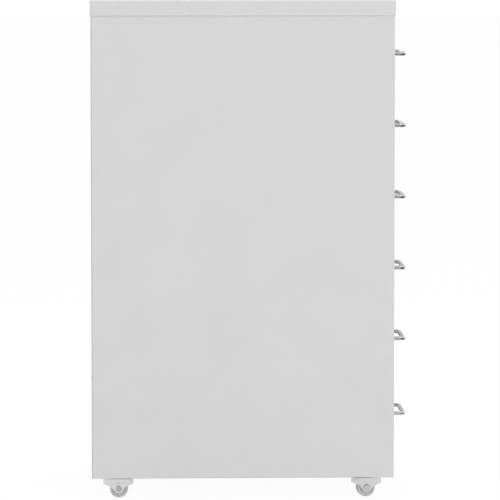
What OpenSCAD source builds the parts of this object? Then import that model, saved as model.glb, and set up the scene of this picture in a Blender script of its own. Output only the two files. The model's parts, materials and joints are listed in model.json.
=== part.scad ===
// Six-drawer sheet-steel cabinet on four swivel casters.
// The drawers face -Y, +Z is up, and the origin lies on the floor under the middle of the whole outline.
// "Left" is -X, the left hand of someone who stands in front of the drawers.

/* [Cabinet] */
// Width across the two side panels
body_w = 280; // [240:1:400]
// Depth from the face of the drawer fronts to the back panel
body_d = 418; // [400:1:520]
// Height of the side panels' lower edge above the floor
body_lift = 30; // [28.5:0.5:32.5]
// Thickness of the body's sheet steel
sheet = 0.8; // [0.6:0.1:1]
// Inside radius of every bend in the body, the drawers and the runners
bend_r = 0.8; // [0.5:0.1:1]
// Width of the side panels' front and rear returns
stile_w = 12; // [11:0.5:13]
// Depth of the lip folded back behind each front return
front_lip_d = 30; // [27:1:40]
// Depth of the lip folded back behind each rear return
rear_lip_d = 24; // [22:1:32]
// Width of the flange rolled in along a side panel's lower edge
hem_w = 9; // [6:0.5:10]
// Width of the flange rolled in along a side panel's upper edge
shoulder_w = 20; // [14:1:30]
// Height of the rail below the bottom drawer
base_rail_h = 22; // [20:1:30]
// Visible height of the rail between the top drawer and the lid
top_rail_show = 5; // [3:0.5:12]
// Depth of the flanges of both front rails
rail_d = 14; // [10:1:20]
// Height of the base pan's upturned edges
pan_upstand = 15; // [10:1:16]
// Gap between the base pan and the lips that it passes between
pan_gap = 0.5; // [0.3:0.1:1]

/* [Lid] */
// Height of the lid's skirt
lid_h = 21; // [18:0.5:30]
// Gap between the skirt and the body inside it
lid_gap = 0.2; // [0.1:0.1:0.5]
// Radius of the lid's four upright corners
lid_corner_r = 2; // [1.8:0.1:3]

/* [Drawers] */
// Height of the front opening that each of the upper drawers fills
pitch = 100; // [80:1:130]
// Height of the front opening that the bottom drawer fills
bottom_pitch = 112; // [90:1:150]
// Gap round each drawer front
front_gap = 1.5; // [1:0.1:2]
// Gap between two drawer fronts
between_gap = 2; // [1.6:0.1:3]
// Depth of the folded drawer fronts
front_d = 13.5; // [11:0.5:16]
// Thickness of the drawer boxes' sheet steel
box_sheet = 0.7; // [0.5:0.1:0.8]
// Length of a drawer box behind the face of its front
box_len = 390; // [370:1:396]
// Height of a drawer box's floor above the bottom of its opening
box_lift = 6; // [3:0.5:12]
// How far a drawer pulls out
travel = 300; // [200:5:310]

/* [Runners] */
// Thickness of the runners' steel
runner_sheet = 1; // [0.8:0.1:1.2]
// Height of a runner
runner_h = 10; // [9:0.5:12]
// Width of the shelf that carries the drawer's flange
shelf_w = 10.6; // [10:0.1:11]
// Width of the upper lip that keeps a pulled-out drawer from tipping
hood_w = 9.5; // [9:0.1:10]
// Distance from the top of a drawer's opening down to the underside of its runner
runner_drop = 18; // [14:0.5:24]
// Gap between a runner's end and the drawer front that stops against it
stop_gap = 0.5; // [0.3:0.1:1]
// Clearance between the drawer's flange and the runner's shelf
slide_clear = 0.1; // [0.05:0.05:0.3]
// Sideways gap between a drawer box and the edges of its shelves
side_gap = 0.9; // [0.8:0.1:1.5]
// Width of the stop folded down from a runner's upper lip
catch_w = 5; // [4:0.5:5.5]
// Height left free over a drawer's flange and under the runner's lip where the stops meet
catch_clear = 1; // [0.5:0.1:1.5]
// Shank diameter of the rivets
rivet_d = 3.2; // [2.4:0.1:3.4]
// Head diameter of the rivets
rivet_head_d = 5; // [4.4:0.1:5.4]
// Thickness of the rivets' heads
rivet_head_t = 0.9; // [0.5:0.1:0.9]

/* [Handles] */
// Diameter of the handle's bar
bar_d = 5.5; // [5:0.1:10]
// Spacing of the two legs, from centre to centre
leg_spacing = 96; // [64:1:160]
// How far the grip stands out from the drawer front
handle_out = 22.5; // [18:0.5:40]
// Radius of the two corners at the bar's centre line
handle_corner_r = 7; // [6:0.5:10]
// Diameter of the handle screws
handle_screw_d = 3; // [2.5:0.1:3.2]
// Depth of the threaded hole in each leg
thread_depth = 7; // [5:0.5:9]

/* [Casters] */
// Diameter of the wheels
wheel_d = 25; // [20:0.5:30]
// Width of the wheels
wheel_w = 12; // [9:0.5:12]
// Diameter of the axle rivet
axle_d = 5; // [4:0.1:5.5]
// Gap between the wheel's hub and each cheek
hub_gap = 0.6; // [0.4:0.1:1]
// Thickness of the pressed fork
fork_sheet = 1.5; // [1.2:0.1:1.8]
// Radius of the fork's round crown
crown_r = 21; // [20:0.5:22]
// Depth of the crown's skirt
skirt_h = 7.8; // [5:0.1:9]
// Half the width of the crown across its two flat sides
shoulder_x = 13; // [12.5:0.1:14]
// Half the width of the cheeks where they leave the crown
cheek_half = 12; // [9:0.5:14]
// Radius of the cheeks' round ends
cheek_tip_r = 7; // [6:0.5:8]
// How far the wheel stands behind the swivel's axis
trail = 1; // [0:0.5:3]
// Distance of the swivel's axis from the body's front and back
caster_in_y = 36.5; // [32:0.5:60]
// Distance of the swivel's axis from the body's sides
caster_in_x = 31; // [30:0.5:60]
// Thickness of the caster's top plate
plate_t = 2; // [1.5:0.1:2.5]
// Size of the top plate across the cabinet
plate_w = 34; // [33:1:36]
// Size of the top plate along the cabinet's depth
plate_l = 38; // [37:1:40]
// Distance of the plate's screws from its edges
screw_inset = 5; // [4:0.5:5]
// Diameter of the plate's screws
plate_screw_d = 4; // [3:0.1:4.2]
// Diameter of the balls in the swivel
ball_d = 3.2; // [3:0.1:3.6]
// Radius of the ring of balls
ball_ring_r = 13; // [12.5:0.1:13.1]
// Angle that the two front casters stand turned to, with their wheels behind the swivels
front_turn = 9; // [0:1:30]
// Angle that the two rear casters stand turned to, with their wheels in front of the swivels
rear_turn = 3; // [0:1:30]

/* [Hidden] */
$fn = 48;
drawer_count = 6;
paint = "#d6d6d6";
zinc = "#cbccc8";
chrome = "#e2e3e5";
wheel_grey = "#9fa0a2";

// Running and assembly clearances
run_clear = 0.05;
hole_clear = 0.1;
ball_clear = 0.1;
cut = 1;

// Places along the depth
total_d = handle_out + body_d + lid_over();
y_front = -total_d / 2 + handle_out;
y_back = y_front + body_d;
panel_d = body_d - sheet;

// Places along the height
opening_z0 = body_lift + base_rail_h;
opening_z1 = opening_z0 + bottom_pitch + (drawer_count - 1) * pitch;
lid_z0 = opening_z1 + top_rail_show;
total_h = lid_z0 + lid_h;
panel_top = total_h - sheet;
panel_h = panel_top - body_lift;
upright_h = panel_h - bend_r;

// Places across the width
half_w = body_w / 2;
inner_w = half_w - sheet;
lip_x = half_w - stile_w;
box_half = lip_x - shelf_w - side_gap;
flange_reach = lip_x - runner_sheet - bend_r - 2 * run_clear;
catch_x0 = lip_x - hood_w + catch_clear / 2;
ear_x0 = catch_x0 - catch_clear / 4;
ear_w = catch_w + catch_clear / 2;

// Runners and their stops
runner_y0 = y_front + front_d + stop_gap;
runner_y1 = y_back - 3 * sheet;
box_y0 = y_front + sheet;
box_y1 = y_front + box_len;
catch_y = box_y1 - box_sheet - travel - stop_gap - runner_sheet;
flange_up = runner_sheet + slide_clear + box_sheet;
front_rivet_y = (runner_y0 + y_front + front_lip_d) / 2;
rear_rivet_y = y_back - sheet - rear_lip_d / 2;
rivet_up = runner_h / 2 + slide_clear + box_sheet / 2;
back_rivet_rows = 6;
back_rivet_edge = 20;
tail_t = 1.2;
tail_d = 4.4;

// Handles
leg_x = leg_spacing / 2;
bar_y = y_front - handle_out + bar_d / 2;
screw_head_d = 5.6;
screw_head_t = 1.8;
screw_tip_gap = 1;

// Caster stack, upwards from the floor
wheel_r = wheel_d / 2;
hub_half = wheel_w / 2 + 0.3;
cheek_in = hub_half + hub_gap;
cheek_out = cheek_in + fork_sheet;
crown_gap = 1.1;
crown_top = wheel_d + crown_gap + fork_sheet;
skirt_z0 = crown_top - skirt_h;
joggle_top = crown_top - 3.6;
joggle_drop = 4.6;
cheek_z1 = skirt_z0 - 2.8;
tip_bite = 0.01;
pad_r = 8;
pad_rise = 1.6;
pad_top = crown_top + pad_rise;
plate_z0 = crown_top + ball_d + 2 * ball_clear;
deck_z = plate_z0 + plate_t;
cup_gap = 0.3;
fork_bend = bend_r + fork_sheet;
ball_count = 12;
pin_r = 2.5;
pin_head_r = 4.5;
pin_head_t = 1.3;
screw_x = plate_w / 2 - screw_inset;
screw_y = plate_l / 2 - screw_inset;
plate_corner_r = 4;
plate_head_d = 7;
plate_head_t = 1.6;
nut_across = 7;
nut_t = 3.2;
screw_end = 1;
axle_head_r = 4.2;
axle_head_t = 1.2;
axle_dimple_r = 1.9;
axle_dimple_depth = 0.8;
hub_r = 5;
rim_r = 9.6;
rim_recess = 2;
tread_round = 1.4;

corners = ["front_left", "front_right", "rear_left", "rear_right"];
drawers = [for (i = [1:drawer_count]) i];

function lid_over() = sheet + lid_gap;

// Drawer 1 is the top one. An opening is the height between the drawer's two joint lines.
function opening_h(i) = i == drawer_count ? bottom_pitch : pitch;
function opening_z(i) = i == drawer_count ? opening_z0 : opening_z0 + bottom_pitch + (drawer_count - 1 - i) * pitch;
function front_z(i) = opening_z(i) + between_gap / 2;
function front_h(i) = opening_h(i) - between_gap;
function runner_z(i) = opening_z(i) + opening_h(i) - runner_drop;
function handle_z(i) = opening_z(i) + opening_h(i) / 2;

// Corners 0 and 2 are on the left, 0 and 1 at the front.
function caster_x(c) = (c % 2 == 0 ? -1 : 1) * (half_w - caster_in_x);
function caster_y(c) = c < 2 ? y_front + caster_in_y : y_back - caster_in_y;
function caster_turn(c) = (c % 2 == 0 ? 1 : -1) * (c < 2 ? front_turn : 180 - rear_turn);

// ---- Sheet-metal shapes ----

// Section of a right-angle bend: the outer corner is at the origin, the legs run along +X and +Y.
module bend(leg_x, leg_y, t) {
    outer_r = bend_r + t;
    translate([outer_r, 0]) square([leg_x - outer_r, t]);
    translate([0, outer_r]) square([t, leg_y - outer_r]);
    intersection() {
        square(outer_r);
        translate([outer_r, outer_r]) difference() {
            circle(outer_r);
            circle(bend_r);
        }
    }
}

// Extrudes a section drawn in X and Z along +Y.
module along_y(length) {
    translate([0, length, 0]) rotate([90, 0, 0]) linear_extrude(length) children();
}

// Extrudes a section drawn in Y and Z along +X.
module along_x(length) {
    rotate([90, 0, 90]) linear_extrude(length) children();
}

// Rectangle whose two upper corners are round.
module round_top(w, h, r) {
    square([w, h - r]);
    translate([r, 0]) square([w - 2 * r, h]);
    for (x = [r, w - r]) translate([x, h - r]) circle(r);
}

// Rectangle with four round corners.
module round_plate(w, h, r) {
    translate([r, 0]) square([w - 2 * r, h]);
    translate([0, r]) square([w, h - 2 * r]);
    for (x = [r, w - r], y = [r, h - r]) translate([x, y]) circle(r);
}

// Block with round upper edges and round upright corners.
module soft_block(w, d, h, r, corner_r) {
    intersection() {
        along_y(d) round_top(w, h, r);
        along_x(w) round_top(d, h, r);
        linear_extrude(h) round_plate(w, d, corner_r);
    }
}

// Folded tray, open below, with its bent edges on top.
module tray(w, d, h, t, corner_r) {
    difference() {
        soft_block(w, d, h, bend_r + t, corner_r);
        translate([t, t, -cut]) soft_block(w - 2 * t, d - 2 * t, h - t + cut, bend_r, corner_r - t);
    }
}

module both_sides() {
    children();
    mirror([1, 0, 0]) children();
}

// Cylinder along X, from x to x + length.
module rod_x(r, x, length) {
    translate([x, 0, 0]) rotate([0, 90, 0]) cylinder(r = r, h = length);
}

// Cylinder along Y, from y to y + length.
module rod_y(r, y, length) {
    translate([0, y, 0]) rotate([-90, 0, 0]) cylinder(r = r, h = length);
}

// ---- Body ----

// Plan section of a side panel's edge: a strip of the web, the return and the lip behind it.
module stile_section(lip_d) {
    bend(stile_w / 2, lip_d + cut, sheet);
    translate([stile_w, 0]) mirror([1, 0]) bend(stile_w / 2, lip_d, sheet);
}

// Upright section of a side panel: the web with its upper and lower flanges.
module web_section() {
    bend(hem_w, panel_h / 2, sheet);
    translate([0, panel_h]) mirror([0, 1]) bend(shoulder_w, panel_h / 2, sheet);
}

module runner_rivet_places() {
    for (i = drawers, y = [front_rivet_y, rear_rivet_y]) translate([-lip_x, y, runner_z(i) + rivet_up]) children();
}

module back_rivet_places() {
    z0 = body_lift + back_rivet_edge;
    step = (lid_z0 - back_rivet_edge - z0) / (back_rivet_rows - 1);
    for (k = [0:back_rivet_rows - 1]) translate([-half_w + stile_w / 2, y_back, z0 + k * step]) children();
}

// The returns end below the lid's bend.
module side_panel() {
    rivet_hole_r = rivet_d / 2 + run_clear;
    difference() {
        translate([-half_w, y_front, body_lift]) {
            linear_extrude(upright_h) stile_section(front_lip_d);
            translate([0, panel_d, 0]) mirror([0, 1, 0]) linear_extrude(upright_h) stile_section(rear_lip_d);
            translate([0, front_lip_d + cut, 0]) along_y(panel_d - front_lip_d - rear_lip_d - 2 * cut) web_section();
        }
        runner_rivet_places() rod_x(rivet_hole_r, -sheet - cut, sheet + 2 * cut);
        back_rivet_places() rod_y(rivet_hole_r, -2 * sheet - cut, sheet + cut + run_clear);
    }
}

module side_panel_left() {
    color(paint) side_panel();
}

module side_panel_right() {
    color(paint) mirror([1, 0, 0]) side_panel();
}

module back_panel() {
    rivet_hole_r = rivet_d / 2 + run_clear;
    color(paint) difference() {
        translate([-half_w, y_back - sheet, body_lift]) cube([body_w, sheet, upright_h]);
        both_sides() back_rivet_places() rod_y(rivet_hole_r, -sheet - cut, sheet + 2 * cut);
    }
}

module top_lid() {
    over = lid_over();
    color(paint) translate([-half_w - over, y_front - over, lid_z0])
        tray(body_w + 2 * over, body_d + 2 * over, lid_h, sheet, lid_corner_r);
}

// Front rail folded to a C that is open to the back.
module front_rail(z, h) {
    translate([-lip_x, y_front, z]) along_x(2 * lip_x) {
        bend(rail_d, h / 2, sheet);
        translate([0, h]) mirror([0, 1]) bend(rail_d, h / 2, sheet);
    }
}

module top_rail() {
    color(paint) front_rail(opening_z1, panel_top - opening_z1);
}

module base_rail() {
    color(paint) front_rail(body_lift, base_rail_h);
}

module caster_places() {
    for (c = [0:3]) translate([caster_x(c), caster_y(c), 0]) children();
}

module plate_screw_places() {
    caster_places() for (x = [-1, 1], y = [-1, 1])
        translate([x * screw_x, y * screw_y, 0]) children();
}

// The pan's wide part lies between the side panels, its narrow part between their lips.
module base_pan() {
    wide_y0 = y_front + front_lip_d + pan_gap;
    wide_y1 = y_back - sheet - rear_lip_d - pan_gap;
    narrow_half = lip_x - pan_gap;
    narrow_d = body_d - 2 * sheet;
    color(paint) difference() {
        union() {
            translate([-inner_w, wide_y0, deck_z]) along_y(wide_y1 - wide_y0) {
                bend(inner_w, pan_upstand, sheet);
                translate([2 * inner_w, 0]) mirror([1, 0]) bend(inner_w, pan_upstand, sheet);
            }
            translate([-narrow_half, y_front + sheet, deck_z]) along_x(2 * narrow_half) {
                bend(narrow_d / 2, pan_upstand, sheet);
                translate([narrow_d, 0]) mirror([1, 0]) bend(narrow_d / 2, pan_upstand, sheet);
            }
        }
        plate_screw_places() translate([0, 0, deck_z - cut]) cylinder(d = plate_screw_d + 2 * hole_clear, h = sheet + 2 * cut);
    }
}

// Blind rivet: the head lies on y = 0 and the shank runs towards -Y through a grip of that thickness.
module rivet(grip) {
    rod_y(rivet_d / 2, -grip, grip);
    rod_y(rivet_head_d / 2, 0, rivet_head_t);
    rod_y(tail_d / 2, -grip - tail_t, tail_t);
}

module carcass_rivets() {
    color(zinc) both_sides() {
        runner_rivet_places() translate([runner_sheet, 0, 0]) rotate([0, 0, -90]) rivet(runner_sheet + sheet);
        back_rivet_places() rivet(2 * sheet);
    }
}

// ---- Runners ----

// C-shaped channel. The shelf carries the drawer's flange, the lip over it stops the drawer from tipping,
// and the tab folded down from that lip catches the flange's upturned end.
module runner(i) {
    rivet_hole_r = rivet_d / 2 + run_clear;
    catch_top = runner_h - runner_sheet;
    catch_z = flange_up + catch_clear;
    difference() {
        translate([-lip_x, runner_y0, runner_z(i)]) along_y(runner_y1 - runner_y0) {
            bend(shelf_w, runner_h / 2, runner_sheet);
            translate([0, runner_h]) mirror([0, 1]) bend(hood_w, runner_h / 2, runner_sheet);
        }
        for (y = [front_rivet_y, rear_rivet_y])
            translate([-lip_x, y, runner_z(i) + rivet_up]) rod_x(rivet_hole_r, -cut, runner_sheet + 2 * cut);
    }
    translate([-catch_x0 - catch_w, catch_y, runner_z(i) + catch_z])
        cube([catch_w, runner_sheet, catch_top - catch_z + runner_sheet / 2]);
}

module runner_left(i) {
    color(zinc) runner(i);
}

module runner_right(i) {
    color(zinc) mirror([1, 0, 0]) runner(i);
}

// ---- Drawers ----

// Half section of a drawer box: floor, side wall and, where it has one, the flange that hangs in the runner.
module box_section(h, with_flange) {
    bend(box_half, h - box_sheet - bend_r, box_sheet);
    if (with_flange)
        translate([box_sheet, h]) mirror([1, 0]) mirror([0, 1])
            bend(flange_reach - box_half + box_sheet, box_sheet + 2 * bend_r, box_sheet);
    else
        translate([0, h / 2]) square([box_sheet, h / 2]);
}

module drawer_box(i) {
    z0 = opening_z(i) + box_lift;
    h = runner_z(i) + flange_up - z0;
    round_r = bend_r + box_sheet;
    floor_y0 = box_y0 + round_r;
    floor_y1 = box_y1 - round_r;
    wall_half = box_half - box_sheet;
    ear_h = runner_h - runner_sheet - flange_up - catch_clear;
    color(paint) difference() {
        union() {
            both_sides() translate([-box_half, 0, z0]) {
                translate([0, floor_y0, 0]) along_y(runner_y0 - floor_y0) box_section(h, false);
                translate([0, runner_y0, 0]) along_y(floor_y1 - runner_y0) box_section(h, true);
                translate([0, box_y0, round_r]) cube([box_sheet, round_r, h - round_r]);
                translate([0, floor_y1, round_r]) cube([box_sheet, round_r, h - round_r]);
            }
            both_sides() translate([-flange_reach, floor_y1, z0 + h - box_sheet])
                cube([flange_reach - box_half + box_sheet / 2, round_r, box_sheet]);
            both_sides() translate([-ear_x0 - ear_w, box_y1 - box_sheet, z0 + h - box_sheet / 2])
                cube([ear_w, box_sheet, ear_h + box_sheet / 2]);
            translate([-wall_half, box_y0, z0]) along_x(2 * wall_half) bend(round_r + bend_r, h, box_sheet);
            translate([-wall_half, box_y1, z0]) mirror([0, 1, 0]) along_x(2 * wall_half)
                bend(round_r + bend_r, h, box_sheet);
        }
        both_sides() translate([leg_x, 0, handle_z(i)])
            rod_y(handle_screw_d / 2 + hole_clear, box_y0 - cut, box_sheet + 2 * cut);
    }
}

module drawer_front(i) {
    half = lip_x - front_gap;
    corner_r = bend_r + sheet;
    color(paint) difference() {
        translate([-half, y_front + front_d, front_z(i)]) rotate([90, 0, 0])
            tray(2 * half, front_h(i), front_d, sheet, corner_r);
        both_sides() translate([leg_x, 0, handle_z(i)])
            rod_y(handle_screw_d / 2 + hole_clear, y_front - cut, sheet + 2 * cut);
    }
}

// Half of the bow: a leg, its quarter bend and half the grip.
module handle_half() {
    bar_r = bar_d / 2;
    leg_len = y_front - bar_y - handle_corner_r;
    difference() {
        union() {
            translate([leg_x, 0, 0]) rod_y(bar_r, y_front - leg_len, leg_len);
            translate([leg_x - handle_corner_r, y_front - leg_len, 0]) rotate([0, 0, -90])
                rotate_extrude(angle = 90) translate([handle_corner_r, 0]) circle(bar_r);
            translate([0, bar_y, 0]) rod_x(bar_r, 0, leg_x - handle_corner_r);
        }
        translate([leg_x, 0, 0]) rod_y(handle_screw_d / 2 + run_clear, y_front - thread_depth, thread_depth + cut);
    }
}

module handle(i) {
    color(chrome) translate([0, 0, handle_z(i)]) both_sides() handle_half();
}

module handle_screws(i) {
    head_y = box_y0 + box_sheet;
    tip_y = y_front - thread_depth + screw_tip_gap;
    color(zinc) both_sides() translate([leg_x, 0, handle_z(i)]) {
        rod_y(handle_screw_d / 2, tip_y, head_y - tip_y);
        rod_y(screw_head_d / 2, head_y, screw_head_t);
    }
}

// ---- Casters ----

module caster_plates() {
    color(zinc) caster_places() difference() {
        union() {
            translate([-plate_w / 2, -plate_l / 2, plate_z0]) linear_extrude(plate_t)
                round_plate(plate_w, plate_l, plate_corner_r);
            translate([0, 0, pad_top + cup_gap]) cylinder(r = pad_r, h = plate_z0 - pad_top - cup_gap + plate_t / 2);
        }
        translate([0, 0, pad_top - cut]) cylinder(r = pin_r + run_clear, h = deck_z - pad_top + 2 * cut);
        for (x = [-1, 1], y = [-1, 1]) translate([x * screw_x, y * screw_y, plate_z0 - cut])
            cylinder(d = plate_screw_d + 2 * hole_clear, h = plate_t + 2 * cut);
    }
}

module caster_screws() {
    nut_r = nut_across / 2 / cos(30);
    head_z = plate_z0 - plate_head_t;
    tip_z = deck_z + sheet + nut_t + screw_end;
    color(zinc) plate_screw_places() {
        translate([0, 0, head_z]) cylinder(d = plate_head_d, h = plate_head_t);
        translate([0, 0, head_z]) cylinder(d = plate_screw_d, h = tip_z - head_z);
        translate([0, 0, deck_z + sheet]) cylinder(r = nut_r, h = nut_t, $fn = 6);
    }
}

// Rivet that the fork turns on. Its head lies in the hollow under the crown's raised middle.
module kingpins() {
    head_top = pad_top - fork_sheet - ball_clear;
    color(zinc) caster_places() {
        translate([0, 0, head_top - pin_head_t]) cylinder(r = pin_head_r, h = pin_head_t);
        translate([0, 0, head_top]) cylinder(r = pin_r, h = deck_z - head_top);
    }
}

module caster_balls() {
    color(chrome) caster_places() for (k = [0:ball_count - 1]) rotate([0, 0, k * 360 / ball_count])
        translate([ball_ring_r, 0, crown_top + ball_clear + ball_d / 2]) sphere(d = ball_d);
}

// Section of the round crown, from the kingpin's hole out to the foot of the skirt.
module crown_section() {
    under = crown_top - fork_sheet;
    translate([crown_r, crown_top]) mirror([1, 0]) mirror([0, 1]) bend(crown_r - pad_r, skirt_h, fork_sheet);
    translate([pad_r - fork_sheet, under]) square([fork_sheet + cut / 2, fork_sheet]);
    translate([pad_r - fork_sheet, under]) square([fork_sheet, pad_rise + fork_sheet]);
    translate([0, under + pad_rise]) square([pad_r, fork_sheet]);
}

// Outline across the fork, drawn in by inset: flat crown, shoulders, joggle and cheeks.
module fork_outline(inset) {
    slope = atan((shoulder_x - cheek_out) / joggle_drop);
    lift = inset * tan(slope / 2);
    low = joggle_top - joggle_drop + lift;
    high = joggle_top + lift;
    intersection() {
        polygon([
            [cheek_out - inset, 0], [cheek_out - inset, low],
            [shoulder_x - inset, high], [shoulder_x - inset, crown_top - inset],
            [inset - shoulder_x, crown_top - inset], [inset - shoulder_x, high],
            [inset - cheek_out, low], [inset - cheek_out, 0]
        ]);
        translate([inset - shoulder_x, 0]) round_top(2 * (shoulder_x - inset), crown_top - inset, fork_bend - inset);
    }
}

// Where the line from a cheek's upper corner meets the round end; side is -1 or 1. It runs a hair inside the
// exact tangent, so that the line and the arc cross.
function cheek_foot(side) =
    let (r = cheek_tip_r - tip_bite, py = side * cheek_half - trail, pz = cheek_z1 - wheel_r)
    let (turn = atan2(pz, py) - side * acos(r / norm([py, pz])))
    [trail + r * cos(turn), wheel_r + r * sin(turn)];

// Side view of a cheek: the crown's flat side, its sloping shoulders, the taper and the round end.
module cheek_outline() {
    flat_half = sqrt(crown_r * crown_r - shoulder_x * shoulder_x);
    translate([-crown_r, skirt_z0]) square([2 * crown_r, skirt_h]);
    polygon([[-flat_half, skirt_z0], [flat_half, skirt_z0], [cheek_half, cheek_z1], [-cheek_half, cheek_z1]]);
    polygon([[-cheek_half, cheek_z1], [cheek_half, cheek_z1], cheek_foot(1), cheek_foot(-1)]);
    translate([trail, wheel_r]) circle(cheek_tip_r);
}

module fork() {
    slab = shoulder_x - fork_bend;
    difference() {
        union() {
            intersection() {
                rotate_extrude() crown_section();
                translate([-slab, -crown_r, 0]) cube([2 * slab, 2 * crown_r, pad_top + cut]);
            }
            intersection() {
                translate([0, -crown_r, 0]) along_y(2 * crown_r) difference() {
                    fork_outline(0);
                    fork_outline(fork_sheet);
                    translate([-slab, crown_top - fork_sheet]) square([2 * slab, fork_sheet + cut]);
                }
                translate([-crown_r, 0, 0]) along_x(2 * crown_r) cheek_outline();
                cylinder(r = crown_r, h = crown_top + cut);
            }
        }
        translate([0, 0, crown_top - cut]) cylinder(r = pin_r + run_clear, h = pad_rise + 2 * cut);
        translate([0, trail, wheel_r]) rod_x(axle_d / 2 + run_clear, -crown_r, 2 * crown_r);
    }
}

module at_caster(c) {
    translate([caster_x(c), caster_y(c), 0]) rotate([0, 0, caster_turn(c)]) children();
}

module caster_fork(c) {
    color(zinc) at_caster(c) fork();
}

module wheel_section() {
    bore_r = axle_d / 2 + run_clear;
    half = wheel_w / 2;
    translate([bore_r, -hub_half]) square([hub_r - bore_r, 2 * hub_half]);
    translate([bore_r, rim_recess - half]) square([wheel_r - tread_round - bore_r, wheel_w - 2 * rim_recess]);
    translate([rim_r, -half]) square([wheel_r - tread_round - rim_r, wheel_w]);
    translate([wheel_r - 2 * tread_round, tread_round - half]) square([2 * tread_round, wheel_w - 2 * tread_round]);
    for (y = [tread_round - half, half - tread_round]) translate([wheel_r - tread_round, y]) circle(tread_round);
}

module caster_wheel(c) {
    color(wheel_grey) at_caster(c) translate([0, trail, wheel_r]) rotate([0, 90, 0]) rotate_extrude() wheel_section();
}

// Tubular rivet with a rolled, dimpled head on each end.
module caster_axle(c) {
    color(zinc) at_caster(c) translate([0, trail, wheel_r]) rotate([0, 90, 0]) rotate_extrude() difference() {
        union() {
            translate([0, -cheek_out]) square([axle_d / 2, 2 * cheek_out]);
            for (side = [0, 1]) mirror([0, side]) translate([0, cheek_out]) {
                square([axle_head_r - axle_head_t, axle_head_t]);
                translate([axle_head_r - axle_head_t, 0]) intersection() {
                    circle(axle_head_t);
                    square(axle_head_t);
                }
            }
        }
        for (side = [0, 1]) mirror([0, side]) translate([0, cheek_out + axle_head_t - axle_dimple_depth])
            square([axle_dimple_r, axle_dimple_depth + cut]);
    }
}

// ---- Nodes ----

side_panel_left();
side_panel_right();
back_panel();
top_lid();
top_rail();
base_rail();
base_pan();
carcass_rivets();
caster_plates();
caster_screws();
kingpins();
caster_balls();

for (i = drawers) {
    runner_left(i);
    runner_right(i);
    drawer_box(i);
    drawer_front(i);
    handle(i);
    handle_screws(i);
}

for (c = [0:3]) {
    caster_fork(c);
    caster_wheel(c);
    caster_axle(c);
}
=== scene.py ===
"""Dresses the small six-drawer steel cabinet: powder-coated sheet, chromed bow handles, zinc-plated swivel casters.

Lengths are in metres and the drawers face -Y, as in the frame. MM turns millimetres into metres.
"""

import json
import math

import bmesh
import bpy
from mathutils import Matrix, Vector


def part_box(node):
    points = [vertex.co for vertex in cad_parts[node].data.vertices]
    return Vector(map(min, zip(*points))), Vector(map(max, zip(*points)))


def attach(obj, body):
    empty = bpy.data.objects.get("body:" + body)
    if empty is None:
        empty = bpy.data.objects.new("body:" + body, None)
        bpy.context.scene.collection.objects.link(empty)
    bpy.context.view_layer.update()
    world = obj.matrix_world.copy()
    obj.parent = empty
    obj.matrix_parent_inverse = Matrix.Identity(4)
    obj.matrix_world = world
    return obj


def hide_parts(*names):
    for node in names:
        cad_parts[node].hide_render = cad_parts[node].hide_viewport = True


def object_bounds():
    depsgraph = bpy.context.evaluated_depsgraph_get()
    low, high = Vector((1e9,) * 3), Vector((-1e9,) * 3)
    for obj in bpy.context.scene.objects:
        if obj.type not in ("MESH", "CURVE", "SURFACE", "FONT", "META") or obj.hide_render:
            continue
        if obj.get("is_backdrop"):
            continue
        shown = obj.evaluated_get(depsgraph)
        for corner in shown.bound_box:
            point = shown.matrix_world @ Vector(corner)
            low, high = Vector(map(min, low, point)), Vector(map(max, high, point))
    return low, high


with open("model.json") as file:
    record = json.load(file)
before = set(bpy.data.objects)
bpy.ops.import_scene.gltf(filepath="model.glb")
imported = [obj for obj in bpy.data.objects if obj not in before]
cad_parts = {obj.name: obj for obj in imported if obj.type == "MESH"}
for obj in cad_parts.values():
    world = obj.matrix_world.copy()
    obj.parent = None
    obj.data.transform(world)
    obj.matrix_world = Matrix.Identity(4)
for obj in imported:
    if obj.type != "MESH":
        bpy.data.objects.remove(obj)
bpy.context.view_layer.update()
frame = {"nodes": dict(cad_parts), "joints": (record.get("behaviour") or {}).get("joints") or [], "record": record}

MM = 0.001
NODES = frame["nodes"]
JOINTS = {joint["name"]: joint for joint in frame["joints"]}
DRAWERS = range(1, 7)
CORNERS = ("front_left", "front_right", "rear_left", "rear_right")

# Sockets of Blender's colour mix node, which has one set of inputs for each kind of value.
MIX_A, MIX_B, MIX_RESULT = 6, 7, 2

UP = Vector((0, 0, 1))
SQUARE = ((-1, -1), (1, -1), (1, 1), (-1, 1))
# Lays the axis of a turned solid along X.
AXIS_ALONG_X = Matrix(((0, 0, 1), (1, 0, 0), (0, 1, 0))).to_4x4()

# Points closer together than this are one point.
SAME_POINT = MM / 1000
# Faces that meet at less than this angle are shaded as one smooth skin.
SMOOTH_ANGLE = math.radians(35)
# How far a cutter reaches past what it cuts.
SPARE = 1 * MM


# ---- Small tools ----

def linear(hex_colour):
    """An sRGB hex colour as the linear RGBA that the shaders take."""
    parts = [int(hex_colour[i:i + 2], 16) / 255 for i in (1, 3, 5)]
    return [p / 12.92 if p <= 0.04045 else ((p + 0.055) / 1.055) ** 2.4 for p in parts] + [1]


def per_mm(size):
    """Texture scale at which one repeat, or one blotch of noise, is this many millimetres across."""
    return 1 / (size * MM)


def add_node(tree, kind, settings=None, inputs=None):
    """Adds a node, sets its own settings, then each input to a value or to the socket that feeds it."""
    node = tree.nodes.new(kind)
    for name, value in (settings or {}).items():
        setattr(node, name, value)
    for socket, value in (inputs or {}).items():
        if isinstance(value, bpy.types.NodeSocket):
            tree.links.new(value, node.inputs[socket])
        else:
            node.inputs[socket].default_value = value
    return node


def empty_tree(owner):
    """The node tree of a material or of the world, with nothing in it yet."""
    owner.use_nodes = True
    owner.node_tree.nodes.clear()
    return owner.node_tree


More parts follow.
